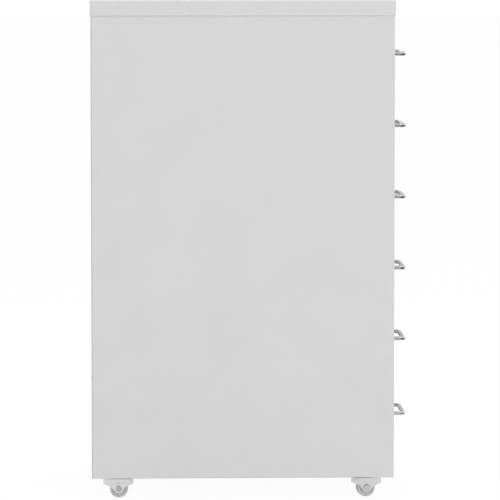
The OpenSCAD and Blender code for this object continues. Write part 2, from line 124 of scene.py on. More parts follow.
def new_material(name):
    """A new material with its node tree, its shader and the object's own coordinates."""
    material = bpy.data.materials.new(name)
    tree = empty_tree(material)
    shader = add_node(tree, "ShaderNodeBsdfPrincipled")
    add_node(tree, "ShaderNodeOutputMaterial", inputs={"Surface": shader.outputs["BSDF"]})
    place = add_node(tree, "ShaderNodeTexCoord").outputs["Object"]
    return material, tree, shader, place


def shade_crevices(tree, colour, reach, darkest):
    """Paints shade into a colour: darkens it where another surface stands close, as shade darkens a joint. Reach is in
    metres, and darkest is the share of the colour that is left in the deepest corner."""
    near = add_node(tree, "ShaderNodeAmbientOcclusion", {"samples": 8}, {"Distance": reach})
    # The node reads 0.9 or more on an open face and about 0.35 at the bottom of a narrow joint.
    left = add_node(tree, "ShaderNodeMapRange", inputs={
        "Value": near.outputs["AO"], "From Min": 0.35, "From Max": 0.9, "To Min": darkest, "To Max": 1})
    shaded = add_node(tree, "ShaderNodeVectorMath", {"operation": "SCALE"}, {
        0: colour, "Scale": left.outputs["Result"]})
    return shaded.outputs["Vector"]


def solids_of(node):
    """The boxes of a CAD node's separate solids, each as its lowest and highest corner, in a fixed order."""
    mesh = bmesh.new()
    mesh.from_mesh(NODES[node].data)
    bmesh.ops.remove_doubles(mesh, verts=mesh.verts, dist=SAME_POINT)
    boxes, seen = [], set()
    for start in mesh.verts:
        if start in seen:
            continue
        seen.add(start)
        solid, waiting = [], [start]
        while waiting:
            vert = waiting.pop()
            solid.append(vert.co)
            for edge in vert.link_edges:
                other = edge.other_vert(vert)
                if other not in seen:
                    seen.add(other)
                    waiting.append(other)
        boxes.append((Vector(map(min, zip(*solid))), Vector(map(max, zip(*solid)))))
    mesh.free()
    return sorted(boxes, key=lambda box: [round(v, 5) for v in (*box[0], *box[1])])


def aimed(direction, axis, upper):
    """A turn that points an object's own axis along a direction, with its upper axis as far up as it goes."""
    return Vector(direction).to_track_quat(axis, upper).to_matrix().to_4x4()


def add_object(name, data):
    """Puts a new object of a mesh, lamp or camera into the scene."""
    made = bpy.data.objects.new(name, data)
    bpy.context.scene.collection.objects.link(made)
    return made


def mesh_object(name, mesh):
    """Makes an object of a finished bmesh, with its faces as they are."""
    data = bpy.data.meshes.new(name)
    mesh.to_mesh(data)
    mesh.free()
    return add_object(name, data)


def closed_object(name, mesh):
    """Makes an object of a finished closed bmesh, with every face turned outwards."""
    bmesh.ops.recalc_face_normals(mesh, faces=mesh.faces)
    return mesh_object(name, mesh)


def add_piece(name, mesh, body, material, replaced, place=None):
    """Makes a piece of the cabinet from a finished bmesh. It rides on a body, has a slot's material, and stands for
    the CAD nodes in replaced, which may be none."""
    piece = closed_object(name, mesh)
    data = piece.data
    data.polygons.foreach_set("use_smooth", [True] * len(data.polygons))
    data.set_sharp_from_angle(angle=SMOOTH_ANGLE)
    data.materials.append(material)
    if place is not None:
        piece.matrix_world = place
    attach(piece, body)
    if replaced:
        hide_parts(*replaced)
    return piece


def join_rings(mesh, lower, upper):
    """Adds the wall of faces between two closed rings of as many points."""
    for i, vert in enumerate(lower):
        j = (i + 1) % len(lower)
        mesh.faces.new((vert, lower[j], upper[j], upper[i]))


def whole_turn(segments):
    """Evenly spaced angles once round a circle."""
    return [2 * math.pi * k / segments for k in range(segments)]


def turned(mesh, profile, place, segments=32):
    """Adds a solid of revolution. The profile's points are (radius, height), from one end on the axis to the other or
    all round a ring's section, and place puts the axis, which is local Z."""
    rings = []
    for radius, height in profile:
        if radius == 0:
            rings.append([mesh.verts.new(place @ Vector((0, 0, height)))])
            continue
        rings.append([mesh.verts.new(place @ Vector((radius * math.cos(a), radius * math.sin(a), height)))
                      for a in whole_turn(segments)])
    for lower, upper in zip(rings, rings[1:]):
        if len(lower) == 1:
            for i, vert in enumerate(upper):
                mesh.faces.new((lower[0], vert, upper[(i + 1) % segments]))
        elif len(upper) == 1:
            for i, vert in enumerate(lower):
                mesh.faces.new((vert, lower[(i + 1) % segments], upper[0]))
        else:
            join_rings(mesh, lower, upper)
    if profile[0][0] > 0:
        join_rings(mesh, rings[-1], rings[0])


def arc(centre, radius, start, end, steps):
    """Points of an arc in a profile, with its angles in degrees."""
    turn = [math.radians(start + (end - start) * k / steps) for k in range(steps + 1)]
    return [(centre[0] + radius * math.cos(a), centre[1] + radius * math.sin(a)) for a in turn]


def round_bar(mesh, radius, start, end, place, segments):
    """Adds a plain round bar from one height to another, as a cutter for a hole."""
    turned(mesh, [(0, start), (radius, start), (radius, end), (0, end)], place, segments)


def lying_along_x(along, across, up):
    return along, across, up


def lying_along_y(along, across, up):
    return across, along, up


def prism(outline, half_length, to_point):
    """A bar with a closed outline for its section. to_point turns (along, across, up) into a point."""
    mesh = bmesh.new()
    ends = [[mesh.verts.new(to_point(end * half_length, across, up)) for across, up in outline] for end in (-1, 1)]
    join_rings(mesh, *ends)
    for end in ends:
        mesh.faces.new(end)
    return closed_object("prism", mesh)


def combine(piece, tool, operation):
    """Changes an object's mesh by a second object, which is used up."""
    step = piece.modifiers.new(operation.lower(), "BOOLEAN")
    step.operation, step.solver, step.object, step.use_self = operation, "EXACT", tool, True
    bpy.context.view_layer.update()
    shaped = bpy.data.meshes.new_from_object(piece.evaluated_get(bpy.context.evaluated_depsgraph_get()))
    piece.modifiers.clear()
    piece.data = shaped
    bpy.data.objects.remove(tool)


# ---- Finishes ----

def powder_coated_steel():
    """Polyester powder, sprayed on folded sheet steel and baked. It gives an even satin skin with a fine orange
    peel, faint cloudiness where the film is thicker, and a slightly rubbed look along the edges."""
    material, tree, shader, place = new_material("powder_coated_steel")
    # The real peel is about 1 mm from crest to crest; drawn at 2.5 mm so that it shows.
    peel = add_node(tree, "ShaderNodeTexNoise", inputs={
        "Vector": place, "Scale": per_mm(2.5), "Detail": 2, "Roughness": 0.5})
    # Film thickness drifts over a hand's width.
    cloud = add_node(tree, "ShaderNodeTexNoise", inputs={
        "Vector": place, "Scale": per_mm(70), "Detail": 3, "Roughness": 0.55})
    tone = add_node(tree, "ShaderNodeMix", {"data_type": "RGBA"}, {
        0: cloud.outputs["Fac"], MIX_A: linear("#d1d1d1"), MIX_B: linear("#d7d7d7")})
    rounded = add_node(tree, "ShaderNodeBevel", {"samples": 4}, {"Radius": 1.2 * MM})
    flat = add_node(tree, "ShaderNodeNewGeometry")
    same = add_node(tree, "ShaderNodeVectorMath", {"operation": "DOT_PRODUCT"}, {
        0: rounded.outputs["Normal"], 1: flat.outputs["Normal"]})
    rubbed = add_node(tree, "ShaderNodeMapRange", inputs={
        "Value": same.outputs["Value"], "From Min": 0.98, "From Max": 0.75, "To Min": 0, "To Max": 0.5})
    colour = add_node(tree, "ShaderNodeMix", {"data_type": "RGBA"}, {
        0: rubbed.outputs["Result"], MIX_A: tone.outputs[MIX_RESULT], MIX_B: linear("#e3e3e2")})
    gloss = add_node(tree, "ShaderNodeMapRange", inputs={
        "Value": cloud.outputs["Fac"], "From Min": 0.3, "From Max": 0.7, "To Min": 0.42, "To Max": 0.52})
    skin = add_node(tree, "ShaderNodeBump", inputs={
        "Height": peel.outputs["Fac"], "Strength": 0.12, "Distance": 0.25 * MM})
    # The joints between folded sheets are hairlines of shade, drawn 1 mm deep so that they show.
    tree.links.new(shade_crevices(tree, colour.outputs[MIX_RESULT], 1 * MM, 0.4), shader.inputs["Base Color"])
    tree.links.new(gloss.outputs["Result"], shader.inputs["Roughness"])
    tree.links.new(skin.outputs["Normal"], shader.inputs["Normal"])
    shader.inputs["IOR"].default_value = 1.5
    return material


def bright_zinc_plate(name, blue, straw, smoothest):
    """Electroplated zinc on rolled steel, passivated. It is a soft metallic grey that drifts between blue and straw,
    with the strip's rolling lines under it. smoothest is the roughness of its brightest lines."""
    material, tree, shader, place = new_material(name)
    tint = add_node(tree, "ShaderNodeTexNoise", inputs={
        "Vector": place, "Scale": per_mm(14), "Detail": 2, "Distortion": 0.4})
    tint_step = add_node(tree, "ShaderNodeMapRange", inputs={
        "Value": tint.outputs["Fac"], "From Min": 0.35, "From Max": 0.65})
    colour = add_node(tree, "ShaderNodeMix", {"data_type": "RGBA"}, {
        0: tint_step.outputs["Result"], MIX_A: linear(blue), MIX_B: linear(straw)})
    # Rolling lines are hairs of some 0.1 mm; drawn 0.6 mm apart and 30 mm long.
    stretched = add_node(tree, "ShaderNodeMapping", inputs={
        "Vector": place, "Scale": [per_mm(0.6), per_mm(30), per_mm(0.6)]})
    rolled = add_node(tree, "ShaderNodeTexNoise", inputs={
        "Vector": stretched.outputs["Vector"], "Scale": 1, "Detail": 1})
    gloss = add_node(tree, "ShaderNodeMapRange", inputs={
        "Value": rolled.outputs["Fac"], "From Min": 0.3, "From Max": 0.7,
        "To Min": smoothest, "To Max": smoothest + 0.14})
    # Pressing and barrel plating leave every edge a little round, which catches a line of light.
    rounded = add_node(tree, "ShaderNodeBevel", {"samples": 6}, {"Radius": 0.5 * MM})
    skin = add_node(tree, "ShaderNodeBump", inputs={
        "Height": rolled.outputs["Fac"], "Strength": 0.15, "Distance": 0.05 * MM,
        "Normal": rounded.outputs["Normal"]})
    # Painted shade darkens the plate where another surface stands close: in its crevices, round the axle rivets' heads
    # and in their hollow ends.
    tree.links.new(shade_crevices(tree, colour.outputs[MIX_RESULT], 2.5 * MM, 0.3), shader.inputs["Base Color"])
    tree.links.new(gloss.outputs["Result"], shader.inputs["Roughness"])
    tree.links.new(skin.outputs["Normal"], shader.inputs["Normal"])
    shader.inputs["Metallic"].default_value = 1
    return material


def polished_chrome():
    """Decorative chrome over nickel on bent steel bar, buffed before plating. It is a mirror that sends back a little
    over half of the light, so white shows in it as mid grey, with a breath of haze where hands have been."""
    material, tree, shader, place = new_material("polished_chrome")
    haze = add_node(tree, "ShaderNodeTexNoise", inputs={
        "Vector": place, "Scale": per_mm(9), "Detail": 4, "Roughness": 0.6})
    gloss = add_node(tree, "ShaderNodeMapRange", inputs={
        "Value": haze.outputs["Fac"], "From Min": 0.35, "From Max": 0.7, "To Min": 0.06, "To Max": 0.14})
    # Buffing leaves waves of a few millimetres in the bar.
    wave = add_node(tree, "ShaderNodeTexNoise", inputs={"Vector": place, "Scale": per_mm(6), "Detail": 1})
    skin = add_node(tree, "ShaderNodeBump", inputs={
        "Height": wave.outputs["Fac"], "Strength": 0.1, "Distance": 0.1 * MM})
    colour = add_node(tree, "ShaderNodeMix", {"data_type": "RGBA"}, {
        0: haze.outputs["Fac"], MIX_A: linear("#c4c5c7"), MIX_B: linear("#bbbcbe")})
    tree.links.new(colour.outputs[MIX_RESULT], shader.inputs["Base Color"])
    tree.links.new(gloss.outputs["Result"], shader.inputs["Roughness"])
    tree.links.new(skin.outputs["Normal"], shader.inputs["Normal"])
    shader.inputs["Metallic"].default_value = 1
    return material


def moulded_polypropylene():
    """Grey polypropylene, injection moulded. It gives a soft satin plastic, scuffed duller and darker on the tread."""
    material, tree, shader, place = new_material("moulded_polypropylene")
    # The wheel's own X axis is its axle, so the distance from that axis tells the tread from the faces.
    across = add_node(tree, "ShaderNodeVectorMath", {"operation": "MULTIPLY"}, {0: place, 1: (0, 1, 1)})
    radius = add_node(tree, "ShaderNodeVectorMath", {"operation": "LENGTH"}, {0: across.outputs["Vector"]})
    tread = add_node(tree, "ShaderNodeMapRange", inputs={
        "Value": radius.outputs["Value"], "From Min": 11.8 * MM, "From Max": 12.4 * MM, "To Min": 0, "To Max": 0.8})
    scuffs = add_node(tree, "ShaderNodeTexNoise", inputs={
        "Vector": place, "Scale": per_mm(2), "Detail": 5, "Roughness": 0.65})
    worn = add_node(tree, "ShaderNodeMath", {"operation": "MULTIPLY"}, {
        0: tread.outputs["Result"], 1: scuffs.outputs["Fac"]})
    colour = add_node(tree, "ShaderNodeMix", {"data_type": "RGBA"}, {
        0: worn.outputs["Value"], MIX_A: linear("#d8d9da"), MIX_B: linear("#cbcbcc")})
    gloss = add_node(tree, "ShaderNodeMapRange", inputs={
        "Value": worn.outputs["Value"], "From Min": 0, "From Max": 0.6, "To Min": 0.4, "To Max": 0.75})
    skin = add_node(tree, "ShaderNodeBump", inputs={
        "Height": scuffs.outputs["Fac"], "Strength": 0.2, "Distance": 0.08 * MM})
    tree.links.new(colour.outputs[MIX_RESULT], shader.inputs["Base Color"])
    tree.links.new(gloss.outputs["Result"], shader.inputs["Roughness"])
    tree.links.new(skin.outputs["Normal"], shader.inputs["Normal"])
    shader.inputs["IOR"].default_value = 1.49
    return material


coat = powder_coated_steel()
# Pressed parts come out of the plating palest. Screws are tumbled in a barrel, which leaves them greyer, and the axle
# rivets are headed cold, which makes them smoother; their colours are also set darker as painted shade, so that the
# hubs read dark. The balls are hardened steel, ground and polished and not plated: they are the darkest and the
# nearest to mirrors, and as faintly uneven in tint.
zinc = bright_zinc_plate("bright_zinc_plate", "#d6d8dc", "#dadad4", 0.26)
screw_zinc = bright_zinc_plate("zinc_plated_screws", "#c3c5c9", "#c9c8c0", 0.22)
rivet_zinc = bright_zinc_plate("zinc_plated_axle_rivets", "#c4c6ca", "#c8c8c2", 0.16)
ball_steel = bright_zinc_plate("hardened_ball_steel", "#b4b5b7", "#bfbfbe", 0.12)
chrome = polished_chrome()
plastic = moulded_polypropylene()

FINISH = {"body_paint": coat, "zinc_plate": zinc, "chrome_bar": chrome, "wheel_plastic": plastic,
          "ball_steel": ball_steel}
for subpart in frame["record"]["subparts"]:
    for held in NODES[subpart["node"]].material_slots:
        held.material = FINISH[subpart["material_slot"]]


# ---- Handles ----

def bow_path(box, bend_r, foot):
    """Centre line of a bow handle in its own plane, from foot to foot, with the bar's radius at each point."""
    lo, hi = box
    bar_r = (hi.z - lo.z) / 2
    leg_x, grip_y, face_y = hi.x - bar_r, lo.y + bar_r, hi.y
    middle_of_leg = (face_y + grip_y + bend_r) / 2
    half = [(Vector((leg_x, face_y, 0)), bar_r - foot), (Vector((leg_x, face_y - foot, 0)), bar_r),
            (Vector((leg_x, middle_of_leg, 0)), bar_r)]
    for x, y in arc((leg_x - bend_r, grip_y + bend_r), bend_r, 0, -90, 16):
        half.append((Vector((x, y, 0)), bar_r))
    half.append((Vector((leg_x / 3, grip_y, 0)), bar_r))
    return half + [(Vector((-point.x, point.y, 0)), r) for point, r in reversed(half)]


def bow_handle(index, bend_r=7 * MM, foot=0.3 * MM, segments=40):
    """A round bar bent to a bow, with its two feet cut square and lightly chamfered."""
    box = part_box(f"handle_{index}")
    height = Vector((0, 0, (box[0].z + box[1].z) / 2))
    path = bow_path(box, bend_r, foot)
    mesh, rings = bmesh.new(), []
    for k, (point, radius) in enumerate(path):
        before, after = path[max(k - 1, 0)][0], path[min(k + 1, len(path) - 1)][0]
        along = (after - before).normalized()
        side = along.cross(UP)
        rings.append([mesh.verts.new(point + height + radius * (math.cos(a) * side + math.sin(a) * UP))
                      for a in whole_turn(segments)])
    for lower, upper in zip(rings, rings[1:]):
        join_rings(mesh, lower, upper)
    mesh.faces.new(rings[0])
    mesh.faces.new(rings[-1])
    add_piece(f"bow_handle_{index}", mesh, f"drawer_{index}", chrome, [f"handle_{index}"])


for drawer in DRAWERS:
    bow_handle(drawer)


# ---- Rivets ----

# How far a domed head stands proud of its sheet, and how far one that is pressed almost flush does.
DOME_T, FLUSH_T = 0.9 * MM, 0.2 * MM
# Where the curve of a head's top runs, as shares of the way out to its edge and of the way down to the sheet.
HEAD_CURVE = ((0.5, 0.08), (0.7, 0.22), (0.87, 0.45), (0.97, 0.75), (1, 1))


def rivet_profile(length, head_r, head_t):
    """Half section of a set blind rivet from the middle of its head to the end of its tail, as (radius, height). The
    sheet that the head lies on is at -DOME_T, and the head stands head_t proud of it."""
    mandrel_r, mandrel_end, lip_t, lip_w = 0.85 * MM, 0.45 * MM, 0.05 * MM, 0.25 * MM
    shank_r, tail_r, tail_t, rim = 1.55 * MM, 2.15 * MM, 1.2 * MM, 0.1 * MM
    top = head_t - DOME_T
    hollow = [(0, top - mandrel_end), (mandrel_r, top - mandrel_end), (mandrel_r, top - lip_t),
              (mandrel_r + lip_w, top)]
    head = [(mandrel_r + (head_r - mandrel_r) * out, top - head_t * down) for out, down in HEAD_CURVE]
    head.append((shank_r, -DOME_T))
    # Setting the rivet draws its tail up into a bulge behind the sheets.
    tail = [(shank_r, tail_t - length), (tail_r - 2 * rim, tail_t - length - rim), (tail_r, tail_t * 0.6 - length),
            (tail_r - 3 * rim, tail_t * 0.15 - length), (tail_r / 2, -length), (0, -length)]
    return hollow + head + tail


def blind_rivets():
    """Every rivet of the carcass. Those of the runners have domed heads inside the cabinet, those of the back panel
    have heads pressed almost flush outside, and each has the broken end of its mandrel down in the head."""
    mesh = bmesh.new()
    for lo, hi in solids_of("carcass_rivets"):
        size, middle = hi - lo, (lo + hi) / 2
        holds_runner = size.x < size.y
        if holds_runner:
            outward = Vector((-1 if middle.x > 0 else 1, 0, 0))
            length, head_r, head_t = size.x, size.y / 2, DOME_T
        else:
            outward = Vector((0, 1, 0))
            length, head_r, head_t = size.y, size.x / 2, FLUSH_T
        place = Matrix.Translation(middle + outward * length / 2) @ aimed(outward, "Z", "Y")
        turned(mesh, rivet_profile(length, head_r, head_t), place, 24)
    add_piece("blind_rivets", mesh, "cabinet", screw_zinc, ["carcass_rivets"])


blind_rivets()


# ---- Back ----

def back_sheet(side_bend=0.8 * MM, hole_r=1.65 * MM):
    """The back panel, cut a little narrower than the body so that its edges lie against the side panels' bends."""
    low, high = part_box("back_panel")
    left, right = low.x + side_bend, high.x - side_bend
    section = [(low.y, low.z), (high.y, low.z), (high.y, high.z), (low.y, high.z)]
    middle = (left + right) / 2
    sheet = prism(section, (right - left) / 2, lambda along, across, up: (middle + along, across, up))
    holes = bmesh.new()
    for lo, hi in solids_of("carcass_rivets"):
        if hi.x - lo.x > hi.y - lo.y:
            rivet = (lo + hi) / 2
            place = Matrix.Translation((rivet.x, low.y, rivet.z)) @ Matrix.Rotation(-math.pi / 2, 4, "X")
            round_bar(holes, hole_r, -SPARE, 2 * SPARE, place, 24)
    combine(sheet, closed_object("rivet_holes", holes), "DIFFERENCE")
    mesh = bmesh.new()
    mesh.from_mesh(sheet.data)
    bpy.data.objects.remove(sheet)
    add_piece("back_sheet", mesh, "cabinet", coat, ["back_panel"])


back_sheet()


# ---- Handle screws ----

def cross_recess(mesh, head_top, place):
    """Adds a cutter for a cross recess: two bars that flare above the head and taper towards the bottom."""
    reach, half_w, deep, proud = 1.7 * MM, 0.36 * MM, 1.1 * MM, 0.3 * MM
    flare, bottom_reach, bottom_w = 1.1, 0.45, 0.7
    mouth = (head_top + proud, reach * flare, half_w * flare)
    bottom = (head_top - deep, reach * bottom_reach, half_w * bottom_w)
    for turn in (0, math.pi / 2):
        spin = Matrix.Rotation(turn, 4, "Z")
        upper, lower = [[mesh.verts.new(place @ spin @ Vector((x * r, y * w, z))) for x, y in SQUARE]
                        for z, r, w in (mouth, bottom)]
        join_rings(mesh, lower, upper)
        mesh.faces.new(upper)
        mesh.faces.new(lower)


def pan_screws(index):
    """The two screws that hold a handle from inside the drawer: pan heads with a cross recess."""
    head_t, shank_r, edge, flat_share = 1.8 * MM, 1.45 * MM, 0.8 * MM, 0.4
    point_r, point_t = shank_r * 0.6, 0.6 * MM
    mesh, cutter = bmesh.new(), bmesh.new()
    for lo, hi in solids_of(f"handle_screws_{index}"):
        middle = (lo + hi) / 2
        length, head_r = hi.y - lo.y, (hi.x - lo.x) / 2
        place = Matrix.Translation((middle.x, lo.y, middle.z)) @ aimed((0, 1, 0), "Z", "X")
        # The end is tapered, and the head is flat in the middle and round at its edge.
        profile = [(0, 0), (point_r, 0), (shank_r, point_t), (shank_r, length - head_t), (head_r, length - head_t)]
        profile += arc((head_r - edge, length - edge), edge, 0, 75, 5)
        profile += [(head_r * flat_share, length), (0, length)]
        turned(mesh, profile, place)
        cross_recess(cutter, length, place)
    piece = add_piece(f"pan_screws_{index}", mesh, f"drawer_{index}", screw_zinc,
                      [f"handle_screws_{index}"])
    combine(piece, closed_object("recess_cutter", cutter), "DIFFERENCE")


for drawer in DRAWERS:
    pan_screws(drawer)


# ---- Wheels ----

def wheel_side(wheel_r, half):
    """Half section of one side of a wheel, from the edge of its bore out to the parting line, as (radius, height).
    seam is half the width of the parting line, and the chamfer round the bore."""
    hub_r, hub_half, bore_r, rim_r = 5 * MM, half + 0.3 * MM, 2.55 * MM, 9.6 * MM
    dish, shoulder, fillet, seam = 2 * MM, 1.5 * MM, 0.6 * MM, 0.12 * MM
    side = [(bore_r, hub_half - seam), (bore_r + seam, hub_half)]
    side += arc((hub_r - fillet, hub_half - fillet), fillet, 90, 0, 4)
    side += arc((hub_r + fillet, half - dish + fillet), fillet, 180, 270, 4)
    side += arc((rim_r - fillet, half - dish + fillet), fillet, 270, 360, 4)
    side += arc((rim_r + fillet, half - fillet), fillet, 180, 90, 4)
    side += arc((wheel_r - seam - shoulder, half - shoulder), shoulder, 90, 8, 8)
    # The parting line is a low ridge round the middle of the tread.
    tread_r = wheel_r - seam / 6
    return side + [(tread_r, half / 3), (tread_r, 2 * seam), (wheel_r, seam)]


def moulded_wheel(corner, half=6 * MM):
    """A wheel with a faintly crowned tread and its parting line, soft shoulders, dished faces and a hub."""
    roll = JOINTS[f"roll_{corner}"]
    low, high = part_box(f"caster_wheel_{corner}")
    side = wheel_side((high.z - low.z) / 2, half)
    mesh = bmesh.new()
    turned(mesh, side + [(radius, -height) for radius, height in reversed(side)], AXIS_ALONG_X, 72)
    place = Matrix.Translation(roll["pos_m"]) @ aimed(roll["axis"], "X", "Z")
    add_piece(f"moulded_wheel_{corner}", mesh, f"wheel_{corner}", plastic,
              [f"caster_wheel_{corner}"], place)


for corner in CORNERS:
    moulded_wheel(corner)


# ---- Swivels ----

# Heights are above the floor, and the rest is measured from the swivel's axis. That axis is the forks' local Z, and
# their local X lies along the axle.

# The pressed sheet and its outer bends.
FORK_T, FORK_BEND = 1.5 * MM, 2.3 * MM
# The crown, with the ball race pressed into its top round a raised pad.
CROWN_R, CROWN_TOP, RACE_FLOOR, RACE_R, PAD_R = 21 * MM, 29.1 * MM, 27.6 * MM, 15.6 * MM, 8 * MM
# Half widths along the axle, at the crown's flat sides and outside the cheeks, and the joggle between them.
SHOULDER_X, CHEEK_OUT, JOGGLE_TOP, JOGGLE_DROP = 13 * MM, 8.4 * MM, 26.2 * MM, 9.4 * MM
# Seen from the side: the skirt's lower edge, its slope down to the cheeks, and the cheeks with their round tips.
SKIRT_FOOT, SLOPE_START, CHEEK_TOP, CHEEK_HALF, TIP_R = 19.8 * MM, 20 * MM, 15.3 * MM, 10.6 * MM, 5.9 * MM
# The rivet that the wheel turns on, and how far it trails the swivel's axis.
AXLE_R, RIVET_HEAD_R, RIVET_HEAD_T, TRAIL = 2.5 * MM, 4.2 * MM, 1.2 * MM, 1 * MM


def fork_place(corner):
    """Where a fork's own frame stands: on the floor under the swivel, with X along the axle."""
    axle = Vector(JOINTS[f"roll_{corner}"]["axis"])
    turn = Matrix([axle, UP.cross(axle), UP]).transposed().to_4x4()
    foot = Vector(JOINTS[f"swivel_{corner}"]["pos_m"]) * Vector((1, 1, 0))
    return Matrix.Translation(foot) @ turn


def top_bend(edge, inset):
    """The bend from a side of the fork, edge away from the middle, to its top, drawn in by inset."""
    return arc((edge - FORK_BEND, CROWN_TOP - FORK_BEND), FORK_BEND - inset, 0, 90, 6)


def fork_section(inset, steps=8):
    """Section through both cheeks, as (x, height) and drawn in by inset: cheeks, soft joggle, bends and crown."""
    right = [(CHEEK_OUT - inset, -SPARE)]
    for k in range(steps + 1):
        t = k / steps
        steep = 6 * t * (1 - t) * (SHOULDER_X - CHEEK_OUT) / JOGGLE_DROP
        x = CHEEK_OUT + (SHOULDER_X - CHEEK_OUT) * t * t * (3 - 2 * t)
        right.append((x - inset * math.hypot(1, steep), JOGGLE_TOP - JOGGLE_DROP * (1 - t)))
    right += top_bend(SHOULDER_X, inset)
    return right + [(-x, z) for x, z in reversed(right)]


def fork_side_view(wheel_r):
    """Outline from the side, as (y, height): the crown's skirt, its sloping shoulders, the tapered cheeks and tips."""
    # The cheeks' straight edges run from their top corners and touch the round tip at these angles about the axle.
    touching = []
    for side in (1, -1):
        y, z = side * CHEEK_HALF - TRAIL, CHEEK_TOP - wheel_r
        touching.append(math.degrees(math.atan2(z, y) - side * math.acos(TIP_R / math.hypot(y, z))))
    tip = arc((TRAIL, wheel_r), TIP_R, touching[0], touching[1] - 360, 20)
    far, above = CROWN_R + SPARE, CROWN_TOP + SPARE
    front = [(-far, above), (far, above), (far, SKIRT_FOOT), (SLOPE_START, SKIRT_FOOT), (CHEEK_HALF, CHEEK_TOP)]
    return front + tip + [(-CHEEK_HALF, CHEEK_TOP), (-SLOPE_START, SKIRT_FOOT), (-far, SKIRT_FOOT)]


def pressed_fork(wheel_r):
    """The fork's mesh in its own frame: a round crown with a skirt, pressed flat at two sides that run down as cheeks.
    The ball race and the raised pad over the kingpin's head are pressed into the crown."""
    below, above, soft, slant = -2 * SPARE, CROWN_TOP + SPARE, 0.4 * MM, 0.2 * MM
    upright = Matrix.Identity(4)

    # The outside is a turned crown, trimmed to the fork's two views.
    mesh = bmesh.new()
    race = [(RACE_R + slant + soft, CROWN_TOP), (RACE_R + slant, CROWN_TOP - soft), (RACE_R, RACE_FLOOR),
            (PAD_R, RACE_FLOOR), (PAD_R - slant, CROWN_TOP - soft), (PAD_R - slant - soft, CROWN_TOP)]
    turned(mesh, [(0, below), (CROWN_R, below)] + top_bend(CROWN_R, 0) + race + [(0, CROWN_TOP)], upright, 96)
    fork = closed_object("fork", mesh)
    combine(fork, prism(fork_section(0), CROWN_R + SPARE, lying_along_y), "INTERSECT")
    combine(fork, prism(fork_side_view(wheel_r), SHOULDER_X + SPARE, lying_along_x), "INTERSECT")

    # The inside follows it one sheet's thickness further in.
    mesh = bmesh.new()
    under_race = [(RACE_R + FORK_T, CROWN_TOP - FORK_T), (RACE_R + FORK_T - slant, RACE_FLOOR - FORK_T),
                  (0, RACE_FLOOR - FORK_T)]
    turned(mesh, [(0, 2 * below), (CROWN_R - FORK_T, 2 * below)] + top_bend(CROWN_R, FORK_T) + under_race, upright, 96)
    hollow = closed_object("hollow", mesh)
    combine(hollow, prism(fork_section(FORK_T), 2 * CROWN_R, lying_along_y), "INTERSECT")
    combine(fork, hollow, "DIFFERENCE")

    # The kingpin's head goes up under the pad, its shank through it, and the axle through both cheeks.
    mesh = bmesh.new()
    bore_r, head_foot, head_top = AXLE_R + 0.05 * MM, RACE_FLOOR - FORK_T - 0.5 * MM, RACE_FLOOR + 0.1 * MM
    turned(mesh, [(0, head_foot), (PAD_R - FORK_T, head_foot), (PAD_R - FORK_T, head_top), (bore_r, head_top),
                  (bore_r, above), (0, above)], upright, 48)
    axle = Matrix.Translation((-CROWN_R, TRAIL, wheel_r)) @ Matrix.Rotation(math.pi / 2, 4, "Y")
    round_bar(mesh, bore_r, 0, 2 * CROWN_R, axle, 48)
    combine(fork, closed_object("holes", mesh), "DIFFERENCE")
    shape = fork.data
    bpy.data.objects.remove(fork)
    return shape


def axle_rivet(wheel_r):
    """A semi-tubular rivet: a flat head with a small dimple at its -X end, and at the other the hollow end, rolled
    over the cheek."""
    end, soft, dimple_r, dimple_t = CHEEK_OUT + RIVET_HEAD_T, 0.4 * MM, 0.9 * MM, 0.2 * MM
    flat = [(0, dimple_t - end), (dimple_r, dimple_t - end), (dimple_r + dimple_t, -end), (RIVET_HEAD_R - soft, -end),
            (RIVET_HEAD_R, soft - end), (RIVET_HEAD_R, -CHEEK_OUT)]
    roll_r, hollow_r, hollow_t = 0.8 * MM, 2.3 * MM, 1.1 * MM
    rolled = arc((hollow_r + roll_r, end - roll_r), roll_r, -30, 180, 12)
    floor = arc((hollow_r - soft, end - hollow_t), soft, 0, -90, 4)
    mesh = bmesh.new()
    turned(mesh, flat + [(AXLE_R, -CHEEK_OUT), (AXLE_R, CHEEK_OUT)] + rolled + floor + [(0, end - hollow_t - soft)],
           Matrix.Translation((0, TRAIL, wheel_r)) @ Matrix.Rotation(math.pi / 2, 4, "Y"), 48)
    return mesh


def swivels():
    """The four forks with their axle rivets, and the bands that hold the balls."""
    low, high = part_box(f"caster_wheel_{CORNERS[0]}")
    wheel_r = (high.z - low.z) / 2
    shape, cages = pressed_fork(wheel_r), bmesh.new()
    for corner in CORNERS:
        place = fork_place(corner)
        mesh = bmesh.new()
        mesh.from_mesh(shape)
        bmesh.ops.remove_doubles(mesh, verts=mesh.verts, dist=SAME_POINT)
        add_piece(f"pressed_fork_{corner}", mesh, f"caster_{corner}", zinc,
                  [f"caster_fork_{corner}"], place)
        add_piece(f"axle_rivet_{corner}", axle_rivet(wheel_r), f"caster_{corner}", rivet_zinc,
                  [f"caster_axle_{corner}"], place)
        # A band round the balls keeps them on their race.
        inner, outer, foot, top = 14.65 * MM, 15.2 * MM, RACE_FLOOR + 0.1 * MM, CROWN_TOP + 0.2 * MM
        turned(cages, [(inner, foot), (outer, foot), (outer, top), (inner, top)], place, 64)
    add_piece("ball_cages", cages, "cabinet", zinc, [])


swivels()


# ---- Studio ----

def seen_rays(tree):
    """1 for a ray from the camera, or a mirror-like or see-through one, and 0 for the rays that light things."""
    path = add_node(tree, "ShaderNodeLightPath")
    seen = add_node(tree, "ShaderNodeMath", {"operation": "MAXIMUM"}, {
        0: path.outputs["Is Camera Ray"], 1: path.outputs["Is Glossy Ray"]})
    return add_node(tree, "ShaderNodeMath", {"operation": "MAXIMUM"}, {
        0: seen.outputs["Value"], 1: path.outputs["Is Transmission Ray"]}).outputs["Value"]


